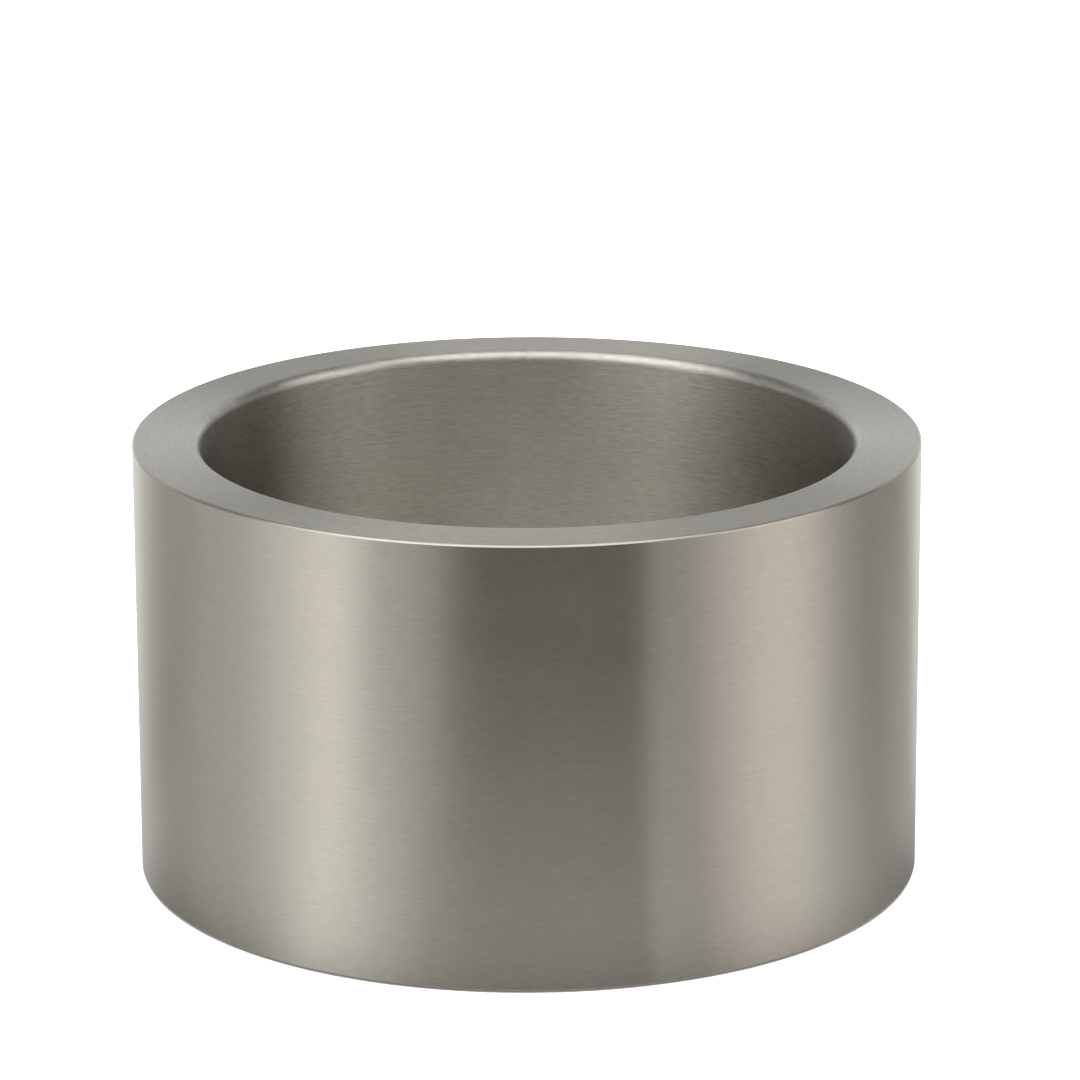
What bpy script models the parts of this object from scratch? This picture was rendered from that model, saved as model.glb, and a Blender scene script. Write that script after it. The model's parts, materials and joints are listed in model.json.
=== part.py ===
"""Double-wall stainless steel beverage tub: a straight round ice tub with a wide flat rim.

A deep-drawn liner hangs inside a rolled shell, and its flat rim reaches out to the shell's top edge.
Ground weld beads close the rim corner, the base corner and the shell's upright seam.
A foam sleeve and a foam pad wrap the liner inside the air gap between the two walls.
The tub stands on four push-in rubber feet, and a rubber plug closes the vent hole in its base.

Metres, +Z up. The origin is the centre of the circle on which the feet's undersides lie.
"""

import math

import bmesh
import bpy
from mathutils import Matrix

# Driving dimensions
TUB_RADIUS = 0.146
TUB_HEIGHT = 0.165
RIM_WIDTH = 0.025
INSIDE_DEPTH = 0.137
SHEET = 0.001
JOINT_GAP = 0.0003
FULL_TURN_STEPS = 60
SMALL_TURN_STEPS = 16

# Rim and base corners, each closed by a weld bead that is ground round
CORNER_RADIUS = 0.001
BEAD_DEPTH = 0.0011
BEAD_STEPS = 2

# Liner
RIM_ROLL_RADIUS = 0.004
FLOOR_CORNER_RADIUS = 0.014
ROLL_STEPS = 4
FLOOR_CORNER_STEPS = 5

# Base plate: a flat landing ring, stepped up to a recessed panel that a round bead stiffens
STAND_OFF = 0.001
LANDING_INNER_RADIUS = 0.133
PANEL_RADIUS = 0.128
PANEL_RECESS = 0.003
STIFFENER_RADIUS = 0.058
STIFFENER_HALF_WIDTH = 0.006
STIFFENER_RISE = 0.0012
EASE_STEPS = 3

# Push-in rubber: the feet, and the plug of the vent hole
FOOT_RING_RADIUS = 0.108
FOOT_RADIUS = 0.011
PLUG_RADIUS = 0.0085
PLUG_FLANGE = 0.0016
RUBBER_CHAMFER = 0.0008
STEM_RADIUS = 0.004
STEM_HOLE_RADIUS = 0.0043
STEM_HEAD_RADIUS = 0.0052
STEM_TIP_RADIUS = 0.0036
STEM_HEAD_HEIGHT = 0.0022
FOOT_ANGLES = {
    "foot_front_left": 225,
    "foot_front_right": 315,
    "foot_back_left": 135,
    "foot_back_right": 45,
}

# Foam round the liner's straight wall and under its flat floor
FOAM_THICKNESS = 0.006
SLEEVE_TOP = 0.158

# Upright seam of the rolled shell, at the back
SEAM_SLOT_WIDTH = 0.0018
SEAM_CROWN = 0.0003

# Heights and radii that follow from the dimensions above
LINER_RADIUS = TUB_RADIUS - RIM_WIDTH
FLOOR_TOP = TUB_HEIGHT - INSIDE_DEPTH
FLOOR_UNDERSIDE = FLOOR_TOP - SHEET
RIM_UNDERSIDE = TUB_HEIGHT - SHEET
SHEET_EDGE_RADIUS = TUB_RADIUS - BEAD_DEPTH - JOINT_GAP
SHELL_INNER_RADIUS = TUB_RADIUS - SHEET
SHELL_BOTTOM = STAND_OFF + BEAD_DEPTH + JOINT_GAP
SHELL_TOP = TUB_HEIGHT - BEAD_DEPTH - JOINT_GAP
PANEL_UNDERSIDE = STAND_OFF + PANEL_RECESS
PANEL_TOP = PANEL_UNDERSIDE + SHEET


def make_material(name, colour, roughness, metallic):
    material = bpy.data.materials.new(name)
    material.use_nodes = True
    shader = material.node_tree.nodes["Principled BSDF"]
    shader.inputs["Base Color"].default_value = (*colour, 1.0)
    shader.inputs["Roughness"].default_value = roughness
    shader.inputs["Metallic"].default_value = metallic
    return material


def evenly(start, end, steps):
    """Values from start to end, both included, with the given number of equal steps between them."""
    return [start + (end - start) * i / steps for i in range(steps + 1)]


def arc(centre, radius, start, end, steps):
    """Points (r, z) of an arc, from angle start to angle end in degrees, both ends included."""
    angles = [math.radians(degrees) for degrees in evenly(start, end, steps)]
    return [(centre[0] + radius * math.cos(a), centre[1] + radius * math.sin(a)) for a in angles]


def ease(t):
    """A smooth step from 0 to 1."""
    return (1 - math.cos(math.pi * t)) / 2


def finish_object(name, bm, material):
    bmesh.ops.recalc_face_normals(bm, faces=bm.faces)
    mesh = bpy.data.meshes.new(name)
    bm.to_mesh(mesh)
    bm.free()
    if material:
        mesh.materials.append(material)
    mesh.shade_smooth()
    mesh.set_sharp_from_angle(angle=math.radians(30))
    obj = bpy.data.objects.new(name, mesh)
    bpy.context.scene.collection.objects.link(obj)
    return obj


def turned(name, outline, material, steps=FULL_TURN_STEPS):
    """A solid of revolution about Z, from an outline that starts and ends on the axis or is a closed loop."""
    bm = bmesh.new()
    verts = [bm.verts.new((r, 0.0, z)) for r, z in outline]
    edges = [bm.edges.new(pair) for pair in zip(verts, verts[1:])]
    if outline[0][0] > 0:
        edges.append(bm.edges.new((verts[-1], verts[0])))
    bmesh.ops.spin(
        bm,
        geom=verts + edges,
        axis=(0, 0, 1),
        angle=math.tau,
        steps=steps,
        use_merge=True,
    )
    bmesh.ops.remove_doubles(bm, verts=bm.verts, dist=1e-6)
    return finish_object(name, bm, material)


def cut_out(cutter, target):
    """Hides a helper solid and cuts it out of the target."""
    cutter.hide_render = True
    cutter.display_type = "WIRE"
    cut = target.modifiers.new(cutter.name, "BOOLEAN")
    cut.operation = "DIFFERENCE"
    cut.solver = "EXACT"
    cut.object = cutter


def foot_places():
    """The (x, y) of each foot, by name."""
    places = {}
    for name, degrees in FOOT_ANGLES.items():
        angle = math.radians(degrees)
        places[name] = (FOOT_RING_RADIUS * math.cos(angle), FOOT_RING_RADIUS * math.sin(angle))
    return places


def make_outer_shell(steel):
    """Sheet rolled into a straight cylinder. Its slot at the back is the gap that the seam weld fills."""
    outline = [
        (SHELL_INNER_RADIUS, SHELL_BOTTOM),
        (TUB_RADIUS, SHELL_BOTTOM),
        (TUB_RADIUS, SHELL_TOP),
        (SHELL_INNER_RADIUS, SHELL_TOP),
    ]
    shell = turned("outer_shell", outline, steel)
    bm = bmesh.new()
    slot_size = Matrix.Diagonal((SEAM_SLOT_WIDTH, 4 * SHEET, 2 * TUB_HEIGHT, 1.0))
    bmesh.ops.create_cube(bm, size=1.0, matrix=slot_size)
    slot = finish_object("seam_slot_cutter", bm, None)
    slot.location = (0.0, TUB_RADIUS - SHEET / 2, TUB_HEIGHT / 2)
    cut_out(slot, shell)


def make_seam_weld(weld):
    """Upright bead that closes the shell: ground flush outside, slightly crowned inside."""
    half_width = SEAM_SLOT_WIDTH / 2 - JOINT_GAP
    section = [
        (-half_width, TUB_RADIUS),
        (half_width, TUB_RADIUS),
        (half_width, SHELL_INNER_RADIUS),
        (half_width / 2, SHELL_INNER_RADIUS - SEAM_CROWN),
        (-half_width / 2, SHELL_INNER_RADIUS - SEAM_CROWN),
        (-half_width, SHELL_INNER_RADIUS),
    ]
    bm = bmesh.new()
    face = bm.faces.new([bm.verts.new((x, y, SHELL_BOTTOM)) for x, y in section])
    grown = bmesh.ops.extrude_face_region(bm, geom=[face])
    top = [item for item in grown["geom"] if isinstance(item, bmesh.types.BMVert)]
    bmesh.ops.translate(bm, verts=top, vec=(0, 0, SHELL_TOP - SHELL_BOTTOM))
    finish_object("shell_seam_weld", bm, weld)


def make_corner_beads(weld):
    """Ring beads that join the rim and the base plate to the shell, with their outer edges ground round."""
    inner = TUB_RADIUS - BEAD_DEPTH
    arc_radius = TUB_RADIUS - CORNER_RADIUS
    rim_arc = arc((arc_radius, TUB_HEIGHT - CORNER_RADIUS), CORNER_RADIUS, 90, 0, BEAD_STEPS)
    rim_low = TUB_HEIGHT - BEAD_DEPTH
    rim_outline = [(inner, TUB_HEIGHT), *rim_arc, (TUB_RADIUS, rim_low), (inner, rim_low)]
    turned("rim_weld_bead", rim_outline, weld)
    base_arc = arc((arc_radius, STAND_OFF + CORNER_RADIUS), CORNER_RADIUS, 0, -90, BEAD_STEPS)
    base_high = STAND_OFF + BEAD_DEPTH
    base_outline = [(inner, base_high), (TUB_RADIUS, base_high), *base_arc, (inner, STAND_OFF)]
    turned("base_weld_bead", base_outline, weld)


def make_inner_liner(steel):
    """Flat rim, rolled edge, straight wall and rounded floor corner, all drawn from one sheet."""
    roll_centre = (LINER_RADIUS + RIM_ROLL_RADIUS, TUB_HEIGHT - RIM_ROLL_RADIUS)
    floor_centre = (LINER_RADIUS - FLOOR_CORNER_RADIUS, FLOOR_TOP + FLOOR_CORNER_RADIUS)
    outline = [
        (0.0, FLOOR_UNDERSIDE),
        *arc(floor_centre, FLOOR_CORNER_RADIUS + SHEET, -90, 0, FLOOR_CORNER_STEPS),
        *arc(roll_centre, RIM_ROLL_RADIUS - SHEET, 180, 90, ROLL_STEPS),
        (SHEET_EDGE_RADIUS, RIM_UNDERSIDE),
        (SHEET_EDGE_RADIUS, TUB_HEIGHT),
        *arc(roll_centre, RIM_ROLL_RADIUS, 90, 180, ROLL_STEPS),
        *arc(floor_centre, FLOOR_CORNER_RADIUS, 0, -90, FLOOR_CORNER_STEPS),
        (0.0, FLOOR_TOP),
    ]
    turned("inner_liner", outline, steel)


def base_underside():
    """Points (r, z) along the underside of the pressed base plate, from the axis outwards."""
    stiffener = [
        (STIFFENER_RADIUS + STIFFENER_HALF_WIDTH * t, PANEL_UNDERSIDE + STIFFENER_RISE * ease(1 - abs(t)))
        for t in evenly(-1, 1, 2 * EASE_STEPS)
    ]
    step_down = [
        (PANEL_RADIUS + (LANDING_INNER_RADIUS - PANEL_RADIUS) * t, PANEL_UNDERSIDE - PANEL_RECESS * ease(t))
        for t in evenly(0, 1, EASE_STEPS)
    ]
    return [(0.0, PANEL_UNDERSIDE), *stiffener, *step_down, (SHEET_EDGE_RADIUS, STAND_OFF)]


def make_base_plate(steel):
    """Pressed disc with a landing ring, a recessed panel, a round stiffening bead and five stem holes."""
    underside = base_underside()
    topside = [(r, z + SHEET) for r, z in reversed(underside)]
    plate = turned("base_plate", underside + topside, steel)
    drill = [(0.0, 0.0), (STEM_HOLE_RADIUS, 0.0), (STEM_HOLE_RADIUS, FLOOR_TOP), (0.0, FLOOR_TOP)]
    for x, y in [(0.0, 0.0), *foot_places().values()]:
        cutter = turned("stem_hole_cutter", drill, None, SMALL_TURN_STEPS)
        cutter.location = (x, y, 0.0)
        cut_out(cutter, plate)


def make_insulation(foam):
    """A sleeve round the liner's straight wall, and a pad under its flat floor."""
    inner = LINER_RADIUS + SHEET + JOINT_GAP
    outer = inner + FOAM_THICKNESS
    straight_bottom = FLOOR_TOP + FLOOR_CORNER_RADIUS
    sleeve = [(inner, straight_bottom), (outer, straight_bottom), (outer, SLEEVE_TOP), (inner, SLEEVE_TOP)]
    turned("insulation_sleeve", sleeve, foam)
    flat_radius = LINER_RADIUS - FLOOR_CORNER_RADIUS
    pad_top = FLOOR_UNDERSIDE - JOINT_GAP
    pad_bottom = pad_top - FOAM_THICKNESS
    pad = [(0.0, pad_bottom), (flat_radius, pad_bottom), (flat_radius, pad_top), (0.0, pad_top)]
    turned("insulation_pad", pad, foam)


def make_push_in(name, rubber, flange_radius, flange_bottom, place):
    """A rubber flange under the base plate, with a stem through its hole and a tapered head above it."""
    flange_top = PANEL_UNDERSIDE - JOINT_GAP
    head_bottom = PANEL_TOP + JOINT_GAP
    head_top = head_bottom + STEM_HEAD_HEIGHT
    outline = [
        (0.0, flange_bottom),
        (flange_radius - RUBBER_CHAMFER, flange_bottom),
        (flange_radius, flange_bottom + RUBBER_CHAMFER),
        (flange_radius, flange_top),
        (STEM_RADIUS, flange_top),
        (STEM_RADIUS, head_bottom),
        (STEM_HEAD_RADIUS, head_bottom),
        (STEM_TIP_RADIUS, head_top),
        (0.0, head_top),
    ]
    piece = turned(name, outline, rubber, SMALL_TURN_STEPS)
    piece.data.transform(Matrix.Translation((*place, 0.0)))


def main():
    for obj in list(bpy.data.objects):
        bpy.data.objects.remove(obj)

    shell_steel = make_material("shell_steel", (0.60, 0.58, 0.55), 0.32, 1.0)
    liner_steel = make_material("liner_steel", (0.62, 0.60, 0.57), 0.30, 1.0)
    base_steel = make_material("base_steel", (0.52, 0.51, 0.49), 0.40, 1.0)
    weld_steel = make_material("weld_steel", (0.68, 0.67, 0.65), 0.25, 1.0)
    foam = make_material("insulation_foam", (0.85, 0.80, 0.62), 0.90, 0.0)
    rubber = make_material("foot_rubber", (0.03, 0.03, 0.03), 0.75, 0.0)

    make_outer_shell(shell_steel)
    make_inner_liner(liner_steel)
    make_base_plate(base_steel)
    make_corner_beads(weld_steel)
    make_seam_weld(weld_steel)
    make_insulation(foam)
    for name, place in foot_places().items():
        make_push_in(name, rubber, FOOT_RADIUS, 0.0, place)
    plug_bottom = PANEL_UNDERSIDE - JOINT_GAP - PLUG_FLANGE
    make_push_in("vent_plug", rubber, PLUG_RADIUS, plug_bottom, (0.0, 0.0))


main()
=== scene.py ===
"""Studio scene of a double-wall stainless steel beverage tub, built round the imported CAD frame.

Each visible CAD node is replaced by a finer turned piece of the same size, in brushed steel or moulded
rubber. The foam inside the double wall keeps its CAD shape. Metres, +Z up, and the camera side is -Y.
"""

import json
import math

import bmesh
import bpy
from mathutils import Matrix, Vector


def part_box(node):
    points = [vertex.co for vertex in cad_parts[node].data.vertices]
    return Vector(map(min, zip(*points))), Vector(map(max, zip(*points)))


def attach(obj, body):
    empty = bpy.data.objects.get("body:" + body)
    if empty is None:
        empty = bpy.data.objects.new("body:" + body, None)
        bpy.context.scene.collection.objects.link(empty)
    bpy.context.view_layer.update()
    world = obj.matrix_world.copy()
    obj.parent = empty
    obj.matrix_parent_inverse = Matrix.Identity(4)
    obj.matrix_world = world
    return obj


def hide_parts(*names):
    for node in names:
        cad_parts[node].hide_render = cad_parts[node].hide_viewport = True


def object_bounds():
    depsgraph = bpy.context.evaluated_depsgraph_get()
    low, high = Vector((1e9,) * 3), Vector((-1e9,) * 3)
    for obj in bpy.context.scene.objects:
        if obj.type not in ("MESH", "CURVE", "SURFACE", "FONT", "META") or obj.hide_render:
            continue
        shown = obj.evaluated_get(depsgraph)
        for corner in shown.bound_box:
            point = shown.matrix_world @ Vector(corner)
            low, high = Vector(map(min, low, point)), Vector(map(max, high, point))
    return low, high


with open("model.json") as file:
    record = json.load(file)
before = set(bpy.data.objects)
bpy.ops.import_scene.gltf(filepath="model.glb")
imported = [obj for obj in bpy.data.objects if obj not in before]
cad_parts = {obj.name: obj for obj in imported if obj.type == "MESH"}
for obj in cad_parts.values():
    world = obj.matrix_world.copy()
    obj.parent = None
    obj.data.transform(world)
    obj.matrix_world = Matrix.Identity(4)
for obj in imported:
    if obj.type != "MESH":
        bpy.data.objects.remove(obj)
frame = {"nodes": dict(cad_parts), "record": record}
cad_low, cad_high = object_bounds()
record = frame["record"]

# Sizes read from the frame
TUB_RADIUS = cad_high.x
TUB_HEIGHT = cad_high.z
RIM_BEAD_LOW, RIM_BEAD_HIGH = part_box("rim_weld_bead")
BASE_BEAD_LOW, BASE_BEAD_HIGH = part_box("base_weld_bead")
FLOOR_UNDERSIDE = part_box("inner_liner")[0].z
LANDING_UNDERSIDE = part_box("base_plate")[0].z
BEAD_DEPTH = RIM_BEAD_HIGH.z - RIM_BEAD_LOW.z
FLOOR_TOP = next(mount["pos_m"][2] for mount in record["mounts"] if mount["name"] == "liner_floor")
SHEET = FLOOR_TOP - FLOOR_UNDERSIDE

# Sizes that the frame's boxes don't give, the same as in the CAD
RIM_WIDTH = 0.025
LINER_RADIUS = TUB_RADIUS - RIM_WIDTH
RIM_ROLL_RADIUS = 0.004
FLOOR_CORNER_RADIUS = 0.014
LANDING_INNER_RADIUS = 0.133
PANEL_RADIUS = 0.128
PANEL_RECESS = 0.003
STIFFENER_RADIUS = 0.058
STIFFENER_HALF_WIDTH = 0.006
STIFFENER_RISE = 0.0012
STEM_HOLE_RADIUS = 0.0043
STEM_RADIUS = 0.004
STEM_HEAD_RADIUS = 0.0052
STEM_TIP_RADIUS = 0.0036
STEM_HEAD_HEIGHT = 0.0022
JOINT_GAP = 0.0003
SEAM_WIDTH = 0.0018
SEAM_CROWN = 0.0003
SEAM_ANGLE = math.degrees(SEAM_WIDTH / TUB_RADIUS)

# Ground corners, which the CAD rounds to 1 mm. The top one is rounder here and stops short of upright, which
# gives its highlight a hard lower edge. The bottom one is sharper.
RIM_CORNER_RADIUS = 0.0016
RIM_CORNER_END = 30.0
BASE_CORNER_RADIUS = 0.0004
RIM_CORNER_RUN = RIM_CORNER_RADIUS * math.cos(math.radians(RIM_CORNER_END))
RIM_CORNER_WELD = math.degrees(math.acos((RIM_CORNER_RUN - BEAD_DEPTH) / RIM_CORNER_RADIUS))
RIM_CORNER_LOW = TUB_HEIGHT - RIM_CORNER_RADIUS * (1 - math.sin(math.radians(RIM_CORNER_END)))
BASE_CORNER_HIGH = BASE_BEAD_LOW.z + BASE_CORNER_RADIUS

# Moulded detail of the rubber: lips, rounded lower edges and shallow dishes underneath
RUBBER_LIP = 0.0004
FOOT_EDGE_RADIUS = 0.0012
FOOT_DISH_RADIUS = 0.006
FOOT_DISH_DEPTH = 0.0006
PLUG_EDGE_RADIUS = 0.0007
PLUG_DISH_RADIUS = 0.0025
PLUG_DISH_DEPTH = 0.0004

# Mesh fineness
TURN_STEPS = 288
SMALL_TURN_STEPS = 64
CORNER_STEPS = 8
ROLL_STEPS = 12
FLOOR_CORNER_STEPS = 16
PRESSING_STEPS = 12
SEAM_STEPS = 6
RUBBER_EDGE_STEPS = 6
SHARP_ANGLE = 30.0

# Camera
CAMERA_DISTANCE = 7.0 * 2 * TUB_RADIUS
CAMERA_ELEVATION = 17.57
CAMERA_LENS = 181.8
CAMERA_ROLL = 0.195
AIM = Vector((0.0047, 0.0, 0.1239))

# Noise runs mostly between these two values
NOISE_LOW = 0.3
NOISE_HIGH = 0.7

# Stage: the floor and backdrop, the light over them, and what lies on the floor for the steel to mirror
STAGE_RADIUS = 8.0
FLOOR_LIGHT_HEIGHT = 3.5
FLOOR_LIGHT_SIZE = 5.0
FLOOR_LIGHT_WATTS = 330.0
CARD_CENTRE = -TUB_RADIUS / 2
CARD_REACH = 0.65
SHADE_CLOSE = 0.05
SHADE_REACH = 0.45
SHADE_HEIGHT = 0.0005


# ---------------------------------------------------------------- shapes


def evenly(start, end, steps):
    """Values from start to end, both included, with the given number of equal steps between them."""
    return [start + (end - start) * i / steps for i in range(steps + 1)]


def arc(centre, radius, start, end, steps):
    """Points (r, z) of an arc, from angle start to angle end in degrees, both ends included."""
    angles = [math.radians(degrees) for degrees in evenly(start, end, steps)]
    return [(centre[0] + radius * math.cos(a), centre[1] + radius * math.sin(a)) for a in angles]


def ease(t):
    """A smooth step from 0 to 1."""
    return (1 - math.cos(math.pi * t)) / 2


def link_mesh(name, bm):
    """Turns a bmesh into an object of the scene, shaded smooth except at sharp edges."""
    bmesh.ops.recalc_face_normals(bm, faces=bm.faces)
    mesh = bpy.data.meshes.new(name)
    bm.to_mesh(mesh)
    bm.free()
    mesh.shade_smooth()
    mesh.set_sharp_from_angle(angle=math.radians(SHARP_ANGLE))
    obj = bpy.data.objects.new(name, mesh)
    bpy.context.scene.collection.objects.link(obj)
    return obj


def turned(name, outline, steps=TURN_STEPS, start=0.0, sweep=360.0):
    """A solid of revolution about Z, from an outline that starts and ends on the axis or is a closed loop.

    A sweep of less than 360 degrees makes a sector, closed by its outline at both ends.
    """
    bm = bmesh.new()
    verts = [bm.verts.new((r, 0.0, z)) for r, z in outline]
    edges = [bm.edges.new(pair) for pair in zip(verts, verts[1:])]
    if outline[0][0] > 0:
        edges.append(bm.edges.new((verts[-1], verts[0])))
    turn = Matrix.Rotation(math.radians(start), 4, "Z")
    bmesh.ops.transform(bm, matrix=turn, verts=verts)
    full = sweep == 360.0
    spun = bmesh.ops.spin(
        bm,
        geom=verts + edges,
        axis=(0, 0, 1),
        angle=math.radians(sweep),
        steps=steps,
        use_merge=full,
    )
    if not full:
        bm.faces.new(verts)
        bm.faces.new([v for v in spun["geom_last"] if isinstance(v, bmesh.types.BMVert)])
    bmesh.ops.remove_doubles(bm, verts=bm.verts, dist=1e-6)
    return link_mesh(name, bm)


def even_shading(piece):
    """Weights the shading by face size, so that flats stay flat right up to the small radii beside them."""
    weighted = piece.modifiers.new("even_shading", "WEIGHTED_NORMAL")
    weighted.keep_sharp = True
    weighted.weight = 100


def drill(piece, radius, places, low, high):
    """Drills upright holes through a piece, and applies the cuts."""
    outline = [(0.0, low), (radius, low), (radius, high), (0.0, high)]
    cutters = []
    for x, y in places:
        cutter = turned("drill", outline, SMALL_TURN_STEPS)
        cutter.location = (x, y, 0.0)
        cut = piece.modifiers.new("hole", "BOOLEAN")
        cut.object = cutter
        cutters.append(cutter)
    bpy.context.view_layer.update()
    evaluated = piece.evaluated_get(bpy.context.evaluated_depsgraph_get())
    mesh = bpy.data.meshes.new_from_object(evaluated)
    piece.modifiers.clear()
    piece.data = mesh
    for cutter in cutters:
        bpy.data.objects.remove(cutter)


def place(piece, material, slot, *nodes):
    """Gives a piece its material, hangs it on the root body and hides the CAD nodes that it stands for."""
    piece.data.materials.clear()
    piece.data.materials.append(material)
    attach(piece, "root")
    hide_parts(*nodes)


# ---------------------------------------------------------------- material nodes


class Graph:
    """A short way to write a node tree: most calls add a node or a few and return the output socket."""

    def __init__(self, tree):
        self.tree = tree

    def node(self, kind, inputs=(), **settings):
        node = self.tree.nodes.new(kind)
        for key, value in settings.items():
            setattr(node, key, value)
        for key, value in dict(inputs).items():
            self.feed(node.inputs[key], value)
        return node

    def feed(self, socket, value):
        if isinstance(value, bpy.types.NodeSocket):
            self.tree.links.new(value, socket)
        else:
            socket.default_value = value

    def math(self, operation, *values):
        return self.node("ShaderNodeMath", enumerate(values), operation=operation).outputs[0]

    def plus(self, a, b):
        return self.math("ADD", a, b)

    def times(self, a, b):
        return self.math("MULTIPLY", a, b)

    def distance(self, a, b):
        """How far the point (a, b) is from (0, 0)."""
        return self.math("SQRT", self.plus(self.math("POWER", a, 2.0), self.math("POWER", b, 2.0)))

    def coordinates(self, kind="Object"):
        return self.node("ShaderNodeTexCoord").outputs[kind]

    def axes(self, vector):
        return self.node("ShaderNodeSeparateXYZ", {"Vector": vector}).outputs

    def vector(self, x, y, z=0.0):
        return self.node("ShaderNodeCombineXYZ", {"X": x, "Y": y, "Z": z}).outputs[0]

    def noise(self, vector, scale=1.0, detail=2.0, roughness=0.5):
        inputs = {"Vector": vector, "Scale": scale, "Detail": detail, "Roughness": roughness}
        return self.node("ShaderNodeTexNoise", inputs).outputs["Fac"]

    def remap(self, value, from_low, from_high, to_low, to_high, smooth=False):
        inputs = {
            "Value": value,
            "From Min": from_low,
            "From Max": from_high,
            "To Min": to_low,
            "To Max": to_high,
        }
        kind = "SMOOTHSTEP" if smooth else "LINEAR"
        return self.node("ShaderNodeMapRange", inputs, interpolation_type=kind).outputs["Result"]

    def vary(self, noise, amount, middle=0.0):
        """Noise as a change of up to this amount, either way from the middle."""
        return self.remap(noise, NOISE_LOW, NOISE_HIGH, middle - amount, middle + amount)

    def between(self, value, rise, fall):
        """1 from the end of rise to the start of fall and 0 outside them, with smooth edges."""
        rising = self.remap(value, *rise, 0.0, 1.0, smooth=True)
        falling = self.remap(value, *fall, 1.0, 0.0, smooth=True)
        return self.times(rising, falling)

    def mix_colour(self, factor, a, b):
        node = self.node("ShaderNodeMix", data_type="RGBA")
        self.feed(node.inputs[0], factor)
        self.feed(node.inputs[6], a)
        self.feed(node.inputs[7], b)
        return node.outputs[2]

    def bump(self, height, distance, strength=1.0, normal=None):
        inputs = {"Height": height, "Distance": distance, "Strength": strength}
        if normal is not None:
            inputs["Normal"] = normal
        return self.node("ShaderNodeBump", inputs).outputs["Normal"]

    def surface(self, shader, kind="ShaderNodeOutputMaterial"):
        """Ends the tree in this shader."""
        output = self.node(kind)
        self.tree.links.new(shader.outputs[0], output.inputs["Surface"])


def new_material(name, **constants):
    """A material with one Principled shader, and its graph and shader."""
    material = bpy.data.materials.new(name)
    material.use_nodes = True
    shader = material.node_tree.nodes["Principled BSDF"]
    for key, value in constants.items():
        shader.inputs[key.replace("_", " ").title()].default_value = value
    return material, Graph(material.node_tree), shader


def empty_material(name):
    """A material with no nodes yet, and its graph."""
    material = bpy.data.materials.new(name)
    material.use_nodes = True
    material.node_tree.nodes.clear()
    return material, Graph(material.node_tree)


def round_position(graph, axes):
    """Where a point is round the tub: the distance along the circle, the radius and the height.

    The distance is measured from the front and jumps at the back, where the shell's seam is.
    """
    forward = graph.times(axes["Y"], -1.0)
    along = graph.times(graph.math("ARCTAN2", axes["X"], forward), TUB_RADIUS)
    return along, graph.distance(axes["X"], axes["Y"]), axes["Z"]


def streaks(graph, along, across, length, width, shift=0.0, detail=2.0):
    """Noise drawn out into streaks of about this length along the grain and this width across it."""
    long_way = graph.times(along, 1 / length)
    cross_way = graph.times(across, 1 / width)
    return graph.noise(graph.vector(long_way, cross_way, shift), detail=detail)


def brushed_steel(name, colour, roughness, grain, anisotropy=1.0, contrast=1.0, smudges=0.01):
    """Satin steel with fine brushing that runs round the tub.

    grain says across what the brush lines lie: "height" on an upright wall, "radius" on a flat, "both" on a
    piece with walls and flats. contrast scales the brush lines, in tone and in relief. smudges is how much
    darker the wiping marks are.
    """
    material, graph, shader = new_material(
        name,
        metallic=1.0,
        anisotropic=anisotropy,
        anisotropic_rotation=0.25,
    )
    coordinates = graph.coordinates()
    axes = graph.axes(coordinates)
    brush_direction = graph.vector(graph.times(axes["Y"], -1.0), axes["X"])
    graph.feed(shader.inputs["Tangent"], brush_direction)
    along, radius, height = round_position(graph, axes)
    across = {"height": height, "radius": radius, "both": graph.math("SUBTRACT", radius, height)}[grain]

    hair = streaks(graph, along, across, length=0.006, width=0.0005, detail=3.0)
    line = streaks(graph, along, across, length=0.030, width=0.0014, shift=7.0)
    cloud = streaks(graph, along, across, length=0.110, width=0.030, shift=13.0, detail=3.0)
    wiped = graph.noise(coordinates, scale=26.0, detail=4.0, roughness=0.6)

    hair_tone = graph.vary(hair, 0.065 * contrast)
    line_tone = graph.vary(line, 0.02 * contrast)
    cloud_tone = graph.vary(cloud, 0.015)
    smudge = graph.remap(wiped, 0.52, 0.66, 0.0, smudges, smooth=True)
    tone = graph.plus(hair_tone, graph.plus(line_tone, cloud_tone))
    shade = graph.math("SUBTRACT", graph.plus(tone, 0.5), smudge)
    dark = tuple(0.5 * value for value in colour) + (1.0,)
    light = tuple(1.5 * value for value in colour) + (1.0,)
    graph.feed(shader.inputs["Base Color"], graph.mix_colour(shade, dark, light))

    hair_rough = graph.vary(hair, 0.015)
    cloud_rough = graph.vary(cloud, 0.01)
    graph.feed(shader.inputs["Roughness"], graph.plus(graph.plus(hair_rough, cloud_rough), roughness))

    hair_relief = 0.00002 * contrast
    line_relief = 0.00003 * contrast
    fine = graph.bump(hair, hair_relief)
    graph.feed(shader.inputs["Normal"], graph.bump(line, line_relief, normal=fine))
    return material


def moulded_rubber(name):
    """Matt black rubber with a fine mould texture and a little dust."""
    material, graph, shader = new_material(name, metallic=0.0)
    black = (0.02, 0.02, 0.02, 1.0)
    dust_grey = (0.075, 0.072, 0.068, 1.0)
    coordinates = graph.coordinates()
    grain = graph.noise(coordinates, scale=2600.0, detail=3.0)
    dust = graph.noise(coordinates, scale=210.0, detail=4.0, roughness=0.65)
    dusty = graph.remap(dust, 0.5, 0.75, 0.0, 1.0)
    graph.feed(shader.inputs["Base Color"], graph.mix_colour(dusty, black, dust_grey))
    graph.feed(shader.inputs["Roughness"], graph.vary(dust, 0.10, middle=0.72))
    graph.feed(shader.inputs["Normal"], graph.bump(grain, distance=0.00006))
    return material


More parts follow.
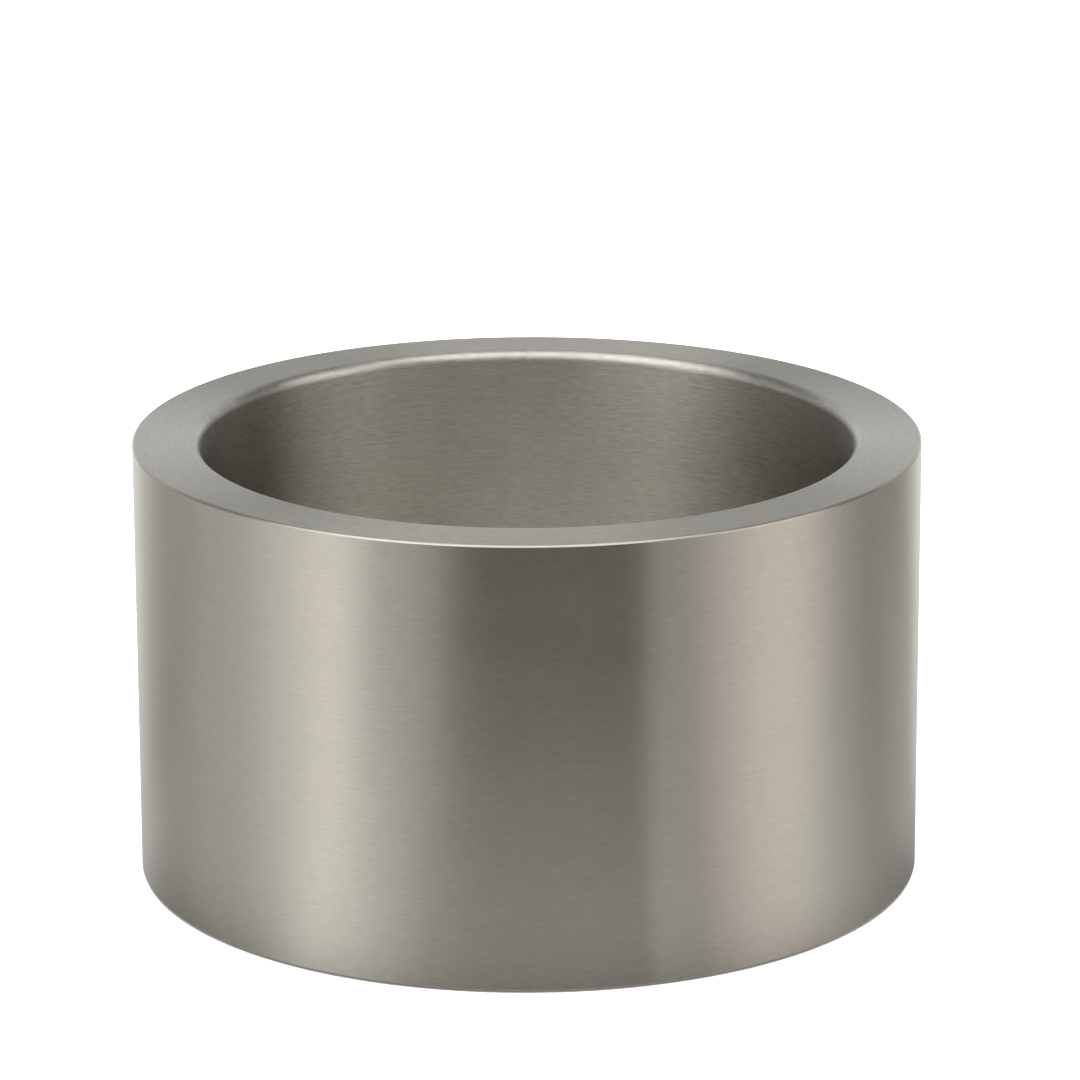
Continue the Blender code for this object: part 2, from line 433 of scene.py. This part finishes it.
def cut_foam(name):
    """Cream closed-cell foam: small cells, each with painted shade that darkens it towards its hollow middle.
    """
    material, graph, shader = new_material(name, metallic=0.0)
    dark_cream = (0.80, 0.72, 0.50, 1.0)
    light_cream = (0.88, 0.84, 0.68, 1.0)
    painted_pit_shade = (0.6, 0.5, 0.3, 1.0)
    coordinates = graph.coordinates()
    cells = graph.node("ShaderNodeTexVoronoi", {"Vector": coordinates, "Scale": 900.0})
    from_middle = cells.outputs["Distance"]
    stain = graph.noise(coordinates, scale=25.0, detail=3.0)
    cream = graph.mix_colour(stain, dark_cream, light_cream)
    # Painted shade: each cell darkens towards its middle, where the bump makes a hollow.
    shade = graph.times(graph.remap(from_middle, 0.0, 0.8, 1.0, 0.0), 0.25)
    graph.feed(shader.inputs["Base Color"], graph.mix_colour(shade, cream, painted_pit_shade))
    graph.feed(shader.inputs["Roughness"], graph.vary(stain, 0.065, middle=0.885))
    graph.feed(shader.inputs["Normal"], graph.bump(from_middle, distance=0.0002))
    return material


# ---------------------------------------------------------------- pieces


def rim_corner(start, end):
    """Part of the ground top corner, which runs out level on the rim and meets the wall at a crisp edge."""
    centre = (TUB_RADIUS - RIM_CORNER_RUN, TUB_HEIGHT - RIM_CORNER_RADIUS)
    return arc(centre, RIM_CORNER_RADIUS, start, end, CORNER_STEPS)


def wall_outline(inner):
    """Section of the wall between the ground corners, from radius inner out to the outside."""
    return [
        (inner, BASE_CORNER_HIGH),
        (TUB_RADIUS, BASE_CORNER_HIGH),
        (TUB_RADIUS, RIM_CORNER_LOW),
        (inner, RIM_CORNER_LOW),
    ]


def make_shell_wall(steel):
    """The rolled outer sheet, open at the back by the width of its seam."""
    outline = wall_outline(TUB_RADIUS - SHEET)
    wall = turned("shell_wall", outline, TURN_STEPS, 90 + SEAM_ANGLE / 2, 360 - SEAM_ANGLE)
    even_shading(wall)
    place(wall, steel, "shell_steel", "outer_shell")


def make_shell_seam(weld):
    """The upright weld at the back, ground flush outside and standing a little proud inside."""
    outline = wall_outline(TUB_RADIUS - SHEET - SEAM_CROWN)
    seam = turned("shell_seam", outline, SEAM_STEPS, 90 - SEAM_ANGLE / 2, SEAM_ANGLE)
    place(seam, weld, "weld_steel", "shell_seam_weld")


def make_corners(weld):
    """The two welded corners, each with a tongue up or down the back of the wall and a ground outer edge."""
    inner = TUB_RADIUS - BEAD_DEPTH
    behind_wall = TUB_RADIUS - SHEET
    rim_outline = [
        *rim_corner(RIM_CORNER_WELD, RIM_CORNER_END),
        (behind_wall, RIM_CORNER_LOW),
        (behind_wall, RIM_BEAD_LOW.z),
        (inner, RIM_BEAD_LOW.z),
    ]
    rim = turned("rim_corner", rim_outline)
    even_shading(rim)
    place(rim, weld, "weld_steel", "rim_weld_bead")
    base_centre = (TUB_RADIUS - BASE_CORNER_RADIUS, BASE_CORNER_HIGH)
    base_outline = [
        (inner, BASE_BEAD_HIGH.z),
        (behind_wall, BASE_BEAD_HIGH.z),
        (behind_wall, BASE_CORNER_HIGH),
        *arc(base_centre, BASE_CORNER_RADIUS, 0, -90, CORNER_STEPS),
        (inner, BASE_BEAD_LOW.z),
    ]
    base = turned("base_corner", base_outline)
    even_shading(base)
    place(base, weld, "weld_steel", "base_weld_bead")


def make_liner(steel):
    """Flat rim, rolled edge, straight wall, rounded floor corner and floor."""
    edge = TUB_RADIUS - BEAD_DEPTH
    roll_centre = (LINER_RADIUS + RIM_ROLL_RADIUS, TUB_HEIGHT - RIM_ROLL_RADIUS)
    floor_centre = (LINER_RADIUS - FLOOR_CORNER_RADIUS, FLOOR_TOP + FLOOR_CORNER_RADIUS)
    outline = [
        (0.0, FLOOR_UNDERSIDE),
        *arc(floor_centre, FLOOR_CORNER_RADIUS + SHEET, -90, 0, FLOOR_CORNER_STEPS),
        *arc(roll_centre, RIM_ROLL_RADIUS - SHEET, 180, 90, ROLL_STEPS),
        (edge, TUB_HEIGHT - SHEET),
        *rim_corner(RIM_CORNER_WELD, 90),
        *arc(roll_centre, RIM_ROLL_RADIUS, 90, 180, ROLL_STEPS),
        *arc(floor_centre, FLOOR_CORNER_RADIUS, 0, -90, FLOOR_CORNER_STEPS),
        (0.0, FLOOR_TOP),
    ]
    liner = turned("liner", outline)
    even_shading(liner)
    place(liner, steel, "liner_steel", "inner_liner")


def foot_places():
    """The (x, y) of each foot, by node name."""
    places = {}
    for node in frame["nodes"]:
        if node.startswith("foot_"):
            low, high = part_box(node)
            places[node] = ((low.x + high.x) / 2, (low.y + high.y) / 2)
    return places


def make_base_pan(steel):
    """Pressed disc: a landing ring, a step up to the panel, and a round stiffening bead."""
    panel = LANDING_UNDERSIDE + PANEL_RECESS
    stiffener = [
        (STIFFENER_RADIUS + STIFFENER_HALF_WIDTH * t, panel + STIFFENER_RISE * ease(1 - abs(t)))
        for t in evenly(-1, 1, 2 * PRESSING_STEPS)
    ]
    step_down = [
        (PANEL_RADIUS + (LANDING_INNER_RADIUS - PANEL_RADIUS) * t, panel - PANEL_RECESS * ease(t))
        for t in evenly(0, 1, PRESSING_STEPS)
    ]
    underside = [(0.0, panel), *stiffener, *step_down, (TUB_RADIUS - BEAD_DEPTH, LANDING_UNDERSIDE)]
    topside = [(r, z + SHEET) for r, z in reversed(underside)]
    pan = turned("base_pan", underside + topside)
    drill(pan, STEM_HOLE_RADIUS, [(0.0, 0.0), *foot_places().values()], -SHEET, FLOOR_TOP)
    even_shading(pan)
    place(pan, steel, "base_steel", "base_plate")


def push_in_outline(flange_radius, flange_bottom, edge_radius, dish_radius, dish_depth):
    """Outline of a rubber flange, its stem and its head. The flange has a rounded lower edge and a dish."""
    panel = LANDING_UNDERSIDE + PANEL_RECESS
    flange_top = panel - JOINT_GAP
    head_bottom = panel + SHEET + JOINT_GAP
    head_top = head_bottom + STEM_HEAD_HEIGHT
    lip = RUBBER_LIP
    edge_centre = (flange_radius - edge_radius, flange_bottom + edge_radius)
    return [
        (0.0, flange_bottom + dish_depth),
        (dish_radius - lip, flange_bottom + dish_depth),
        (dish_radius, flange_bottom + lip / 4),
        (dish_radius + lip / 2, flange_bottom),
        *arc(edge_centre, edge_radius, -90, 0, RUBBER_EDGE_STEPS),
        (flange_radius, flange_top - lip),
        (flange_radius - lip, flange_top),
        (STEM_RADIUS, flange_top),
        (STEM_RADIUS, head_bottom),
        (STEM_HEAD_RADIUS, head_bottom),
        (STEM_HEAD_RADIUS, head_bottom + lip),
        (STEM_TIP_RADIUS, head_top - lip / 2),
        (STEM_TIP_RADIUS - lip, head_top),
        (0.0, head_top),
    ]


def make_rubber(rubber):
    """Four feet and the vent plug, each pushed into its hole."""
    for node, (x, y) in foot_places().items():
        low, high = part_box(node)
        radius = (high.x - low.x) / 2
        outline = push_in_outline(radius, low.z, FOOT_EDGE_RADIUS, FOOT_DISH_RADIUS, FOOT_DISH_DEPTH)
        foot = turned("rubber_" + node, outline, SMALL_TURN_STEPS)
        foot.data.transform(Matrix.Translation((x, y, 0.0)))
        even_shading(foot)
        place(foot, rubber, "foot_rubber", node)
    low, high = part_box("vent_plug")
    outline = push_in_outline(high.x, low.z, PLUG_EDGE_RADIUS, PLUG_DISH_RADIUS, PLUG_DISH_DEPTH)
    plug = turned("rubber_vent_plug", outline, SMALL_TURN_STEPS)
    even_shading(plug)
    place(plug, rubber, "foot_rubber", "vent_plug")


def paint_foam(foam):
    """Gives the two foam solids of the CAD their material, in place."""
    for node in ("insulation_sleeve", "insulation_pad"):
        piece = frame["nodes"][node]
        for material_slot in piece.material_slots:
            material_slot.material = foam


# ---------------------------------------------------------------- studio

# Light of the studio round the tub: the compass angle from the camera side, positive to the right, the
# brightness, and how much redder than neutral it is
STUDIO_BANDS = [
    (-180, 0.70, 1.00),
    (-168, 1.02, 1.00),
    (-156, 1.00, 0.99),
    (-146, 0.69, 0.99),
    (-132, 0.48, 1.01),
    (-124, 0.47, 1.01),
    (-108, 0.57, 1.00),
    (-92, 0.63, 1.00),
    (-76, 0.86, 1.00),
    (-60, 1.10, 1.01),
    (-52, 0.90, 0.99),
    (-44, 0.49, 0.99),
    (-28, 0.33, 1.00),
    (-18, 0.06, 1.00),
    (-10, 0.00, 1.00),
    (22, 0.00, 1.01),
    (33, 0.06, 1.01),
    (36, 0.33, 1.01),
    (48, 0.40, 1.01),
    (60, 0.61, 1.03),
    (72, 0.80, 1.05),
    (84, 0.90, 1.05),
    (100, 0.53, 1.03),
    (116, 0.34, 1.01),
    (132, 0.33, 1.01),
    (148, 0.60, 1.00),
    (160, 1.12, 0.99),
    (180, 0.70, 1.00),
]


# The colour ramp of the bands holds each brightness as a share of this
BAND_FULL = 2.0

# Strip lights overhead: brightness, and the soft edges as X / Z and Y / Z of the direction looked in
MAIN_STRIP = {
    "level": 2.0,
    "left": (-1.5, -0.9),
    "right": (0.4, 0.8),
    "front": (-1.5, -1.1),
    "back": (0.0, 0.4),
}
SIDE_STRIP = {
    "level": 1.1,
    "left": (0.7, 0.95),
    "right": (1.9, 2.5),
    "front": (-0.9, -0.6),
    "back": (0.2, 0.7),
}
PANEL_LEVEL = 0.56
FILL_LEVEL = 0.14


def horizon_bands(graph, axes):
    """Upright bands round the horizon. They fade upwards, and over a shorter height at the back."""
    angle = graph.math("ARCTAN2", axes["X"], graph.times(axes["Y"], -1.0))
    turn = graph.remap(angle, -math.pi, math.pi, 0.0, 1.0)
    bands = graph.node("ShaderNodeValToRGB", {"Fac": turn})
    stops = bands.color_ramp.elements
    while len(stops) < len(STUDIO_BANDS):
        stops.new(0.5)
    for stop, (degrees, level, red) in zip(stops, STUDIO_BANDS):
        share = level / BAND_FULL
        stop.position = (degrees + 180) / 360
        stop.color = (share * red, share, share, 1.0)
    reach = graph.remap(axes["Y"], 0.3, 0.7, 1.4, 0.3)
    fade = graph.remap(axes["Z"], 0.0, reach, 1.0, 0.15)
    inputs = {"Color": bands.outputs["Color"], "Strength": graph.times(fade, BAND_FULL)}
    return graph.node("ShaderNodeBackground", inputs)


def strip_light(graph, axes, strip):
    """The brightness of one soft-edged strip light overhead."""
    up = graph.math("MAXIMUM", axes["Z"], 0.01)
    sideways = graph.math("DIVIDE", axes["X"], up)
    backwards = graph.math("DIVIDE", axes["Y"], up)
    breadth = graph.between(sideways, strip["left"], strip["right"])
    depth = graph.between(backwards, strip["front"], strip["back"])
    return graph.times(graph.times(breadth, depth), strip["level"])


def panel_behind(graph, axes):
    """The brightness of a soft panel behind the tub, which the rim mirrors."""
    behind = graph.remap(axes["Y"], 0.45, 0.75, 0.0, PANEL_LEVEL, smooth=True)
    bottom = graph.remap(axes["Z"], 0.07, 0.32, 0.0, 1.0, smooth=True)
    top = graph.remap(axes["Z"], 0.35, 0.80, 1.0, 0.1, smooth=True)
    return graph.times(behind, graph.times(bottom, top))


def fill_in_front(graph, axes):
    """The brightness of a faint fill above the camera side, which the rim mirrors in views from behind."""
    in_front = graph.remap(axes["Y"], -0.75, -0.90, 0.0, FILL_LEVEL, smooth=True)
    above = graph.remap(axes["Z"], 0.08, 0.30, 0.0, 1.0, smooth=True)
    return graph.times(in_front, above)


def make_world():
    """The studio that the steel mirrors: bands round the horizon, and strips, a panel and a fill above it."""
    world = bpy.data.worlds.new("studio")
    bpy.context.scene.world = world
    world.use_nodes = True
    world.node_tree.nodes.clear()
    graph = Graph(world.node_tree)
    axes = graph.axes(graph.coordinates("Generated"))
    strips = graph.plus(strip_light(graph, axes, MAIN_STRIP), strip_light(graph, axes, SIDE_STRIP))
    overhead = graph.plus(graph.plus(strips, panel_behind(graph, axes)), fill_in_front(graph, axes))
    above = graph.node("ShaderNodeBackground", {"Strength": overhead})
    horizon = horizon_bands(graph, axes)
    both = graph.node("ShaderNodeAddShader", {0: horizon.outputs[0], 1: above.outputs[0]})
    graph.surface(both, "ShaderNodeOutputWorld")


def seen_by(piece, camera=True, diffuse=True, glossy=True, shadow=True):
    """Says which rays meet a piece of the stage."""
    piece.visible_camera = camera
    piece.visible_diffuse = diffuse
    piece.visible_glossy = glossy
    piece.visible_shadow = shadow
    piece.visible_transmission = False
    piece.visible_volume_scatter = False


def make_floor():
    """A pale floor that the steel doesn't mirror, and that can be looked through from below."""
    bm = bmesh.new()
    bmesh.ops.create_circle(bm, cap_ends=True, radius=STAGE_RADIUS, segments=96)
    floor = link_mesh("floor", bm)
    material, graph, shader = new_material("floor_paper", roughness=0.9)
    dark_paper = (0.88, 0.88, 0.875, 1.0)
    light_paper = (0.90, 0.90, 0.895, 1.0)
    paper = graph.noise(graph.coordinates(), scale=40.0)
    graph.feed(shader.inputs["Base Color"], graph.mix_colour(paper, dark_paper, light_paper))
    clear = graph.node("ShaderNodeBsdfTransparent")
    side = graph.node("ShaderNodeNewGeometry").outputs["Backfacing"]
    mix = graph.node("ShaderNodeMixShader", {0: side, 1: shader.outputs[0], 2: clear.outputs[0]})
    output = material.node_tree.nodes["Material Output"]
    material.node_tree.links.new(mix.outputs[0], output.inputs["Surface"])
    floor.data.materials.append(material)
    seen_by(floor, glossy=False)


def make_backdrop():
    """A plain pale dome that only the camera sees, for views that look past the floor."""
    bm = bmesh.new()
    bmesh.ops.create_uvsphere(bm, u_segments=64, v_segments=32, radius=STAGE_RADIUS)
    dome = link_mesh("backdrop", bm)
    material, graph = empty_material("backdrop_paper")
    graph.surface(graph.node("ShaderNodeEmission", {"Color": (1.0, 1.0, 1.0, 1.0), "Strength": 1.0}))
    dome.data.materials.append(material)
    seen_by(dome, diffuse=False, glossy=False, shadow=False)


def floor_sector(name, middle, far, angles, height):
    """A flat piece from the foot of the wall out to far, that only the steel mirrors.

    Its angles are in degrees from the camera side, round the point (0, middle).
    """
    centre = Vector((0.0, middle, height))
    bm = bmesh.new()
    pairs = []
    for degrees in angles:
        a = math.radians(degrees)
        ray = Vector((math.sin(a), -math.cos(a), 0.0))
        near = middle * math.cos(a) + math.sqrt(TUB_RADIUS ** 2 - (middle * math.sin(a)) ** 2)
        pairs.append((bm.verts.new(centre + near * ray), bm.verts.new(centre + far * ray)))
    for (inner, outer), (next_inner, next_outer) in zip(pairs, pairs[1:]):
        bm.faces.new((inner, outer, next_outer, next_inner))
    sector = link_mesh(name, bm)
    seen_by(sector, camera=False, diffuse=False, shadow=False)
    return sector


def floor_position(graph, middle):
    """The angle from the camera side round the point (0, middle), the distance from it, and the depth Y."""
    axes = graph.axes(graph.coordinates())
    forward = graph.math("SUBTRACT", middle, axes["Y"])
    angle = graph.math("ARCTAN2", axes["X"], forward)
    return angle, graph.distance(axes["X"], forward), axes["Y"]


def paint_cover(piece, name, build):
    """A glowing material that is see-through where its cover is 0. build gives the glow and the cover."""
    material, graph = empty_material(name)
    strength, cover = build(graph)
    glow = graph.node("ShaderNodeEmission", {"Strength": strength})
    clear = graph.node("ShaderNodeBsdfTransparent")
    mix = graph.node("ShaderNodeMixShader", {0: cover, 1: clear.outputs[0], 2: glow.outputs[0]})
    graph.surface(mix)
    piece.data.materials.append(material)


# Glowing cards on the floor, a painted reflection of the lit floor that only the steel mirrors. Angles are in
# degrees from the camera side, positive to the right, and the far end is in metres from the cards' centre.
# The card fades over each end. The tones pair angles with the brightness of the glow.
FRONT_CARD = {
    "angles": range(-74, 54, 2),
    "left_end": (-72, -54),
    "right_end": (40, 52),
    "far_end": (0.22, 0.34),
    "tones": [(-60, 1.10), (-44, 0.82), (-28, 0.45), (33, 0.46), (36, 0.57)],
}
SIDE_CARD = {
    "angles": range(64, 142, 2),
    "left_end": (66, 82),
    "right_end": (122, 138),
    "far_end": (0.42, 0.62),
    "tones": [(76, 0.88), (92, 0.65), (104, 0.48), (111, 0.48), (122, 0.64), (134, 0.80)],
}


def make_card(name, card):
    """A glowing card lying on the floor beside the tub, a painted reflection of the lit floor that only the
    steel mirrors.

    The low part of the wall mirrors the card and the high part mirrors the studio past it.
    """

    def card_look(graph):
        angle, distance, _ = floor_position(graph, CARD_CENTRE)
        degrees = graph.math("DEGREES", angle)
        far = graph.remap(distance, *card["far_end"], 1.0, 0.0, smooth=True)
        cover = graph.times(far, graph.between(degrees, card["left_end"], card["right_end"]))
        tones = card["tones"]
        strength = tones[0][1]
        for (low, low_tone), (high, high_tone) in zip(tones, tones[1:]):
            step = graph.remap(degrees, low, high, 0.0, high_tone - low_tone)
            strength = graph.plus(strength, step)
        return strength, cover

    piece = floor_sector(name, CARD_CENTRE, CARD_REACH, card["angles"], 0.0)
    # Painted reflection: the card glows with the tones of the lit floor, for the steel to mirror.
    paint_cover(piece, name + "_painted_reflection", card_look)


def make_floor_shade():
    """The shade on the floor round the tub, deepest close to the wall and reaching further at the back."""

    def shade_look(graph):
        _, distance, depth = floor_position(graph, 0.0)
        gap = graph.math("SUBTRACT", distance, TUB_RADIUS)
        close = graph.remap(gap, 0.0, SHADE_CLOSE, 0.45, 0.0, smooth=True)
        at_back = graph.remap(depth, 0.0, 0.08, 0.0, 0.28, smooth=True)
        reach = graph.remap(gap, SHADE_CLOSE, SHADE_REACH, 1.0, 0.0)
        return 0.0, graph.plus(close, graph.times(at_back, reach))

    shade = floor_sector("floor_shade", 0.0, TUB_RADIUS + SHADE_REACH, range(0, 361, 3), SHADE_HEIGHT)
    paint_cover(shade, "shade_black", shade_look)


def make_floor_light():
    """A large soft light overhead for the floor and the rubber. The steel doesn't mirror it."""
    light = bpy.data.lights.new("floor_light", "AREA")
    light.shape = "DISK"
    light.size = FLOOR_LIGHT_SIZE
    light.energy = FLOOR_LIGHT_WATTS
    lamp = bpy.data.objects.new("floor_light", light)
    lamp.location = (0.0, 0.0, FLOOR_LIGHT_HEIGHT)
    lamp.visible_glossy = False
    bpy.context.scene.collection.objects.link(lamp)


def make_camera():
    """A long lens on the camera side, with a slight roll."""
    data = bpy.data.cameras.new("camera")
    data.lens = CAMERA_LENS
    data.sensor_width = 36.0
    data.clip_start = 0.1
    data.clip_end = 50.0
    camera = bpy.data.objects.new("camera", data)
    elevation = math.radians(CAMERA_ELEVATION)
    back = Vector((0.0, -math.cos(elevation), math.sin(elevation)))
    camera.location = Vector((0.0, 0.0, TUB_HEIGHT / 2)) + CAMERA_DISTANCE * back
    look = (AIM - camera.location).to_track_quat("-Z", "Y")
    roll = Matrix.Rotation(math.radians(-CAMERA_ROLL), 3, "Z").to_quaternion()
    camera.rotation_mode = "QUATERNION"
    camera.rotation_quaternion = look @ roll
    bpy.context.scene.collection.objects.link(camera)
    bpy.context.scene.camera = camera


def main():
    bpy.context.scene.view_settings.view_transform = "Standard"
    make_camera()
    make_world()
    make_floor()
    make_backdrop()
    make_card("front_card", FRONT_CARD)
    make_card("side_card", SIDE_CARD)
    make_floor_shade()
    make_floor_light()

    shell_steel = brushed_steel("shell_steel_brushed", (0.60, 0.565, 0.49), 0.30, "height")
    liner_steel = brushed_steel(
        "liner_steel_brushed",
        (0.63, 0.61, 0.55),
        0.30,
        "both",
        contrast=2.0,
        smudges=0.03,
    )
    base_steel = brushed_steel("base_steel_spun", (0.50, 0.48, 0.44), 0.38, "radius", anisotropy=0.7)
    weld = brushed_steel("weld_steel_brushed", (0.62, 0.585, 0.51), 0.28, "both")
    rubber = moulded_rubber("foot_rubber_moulded")
    foam = cut_foam("insulation_foam_cut")

    make_shell_wall(shell_steel)
    make_shell_seam(weld)
    make_corners(weld)
    make_liner(liner_steel)
    make_base_pan(base_steel)
    make_rubber(rubber)
    paint_foam(foam)


main()
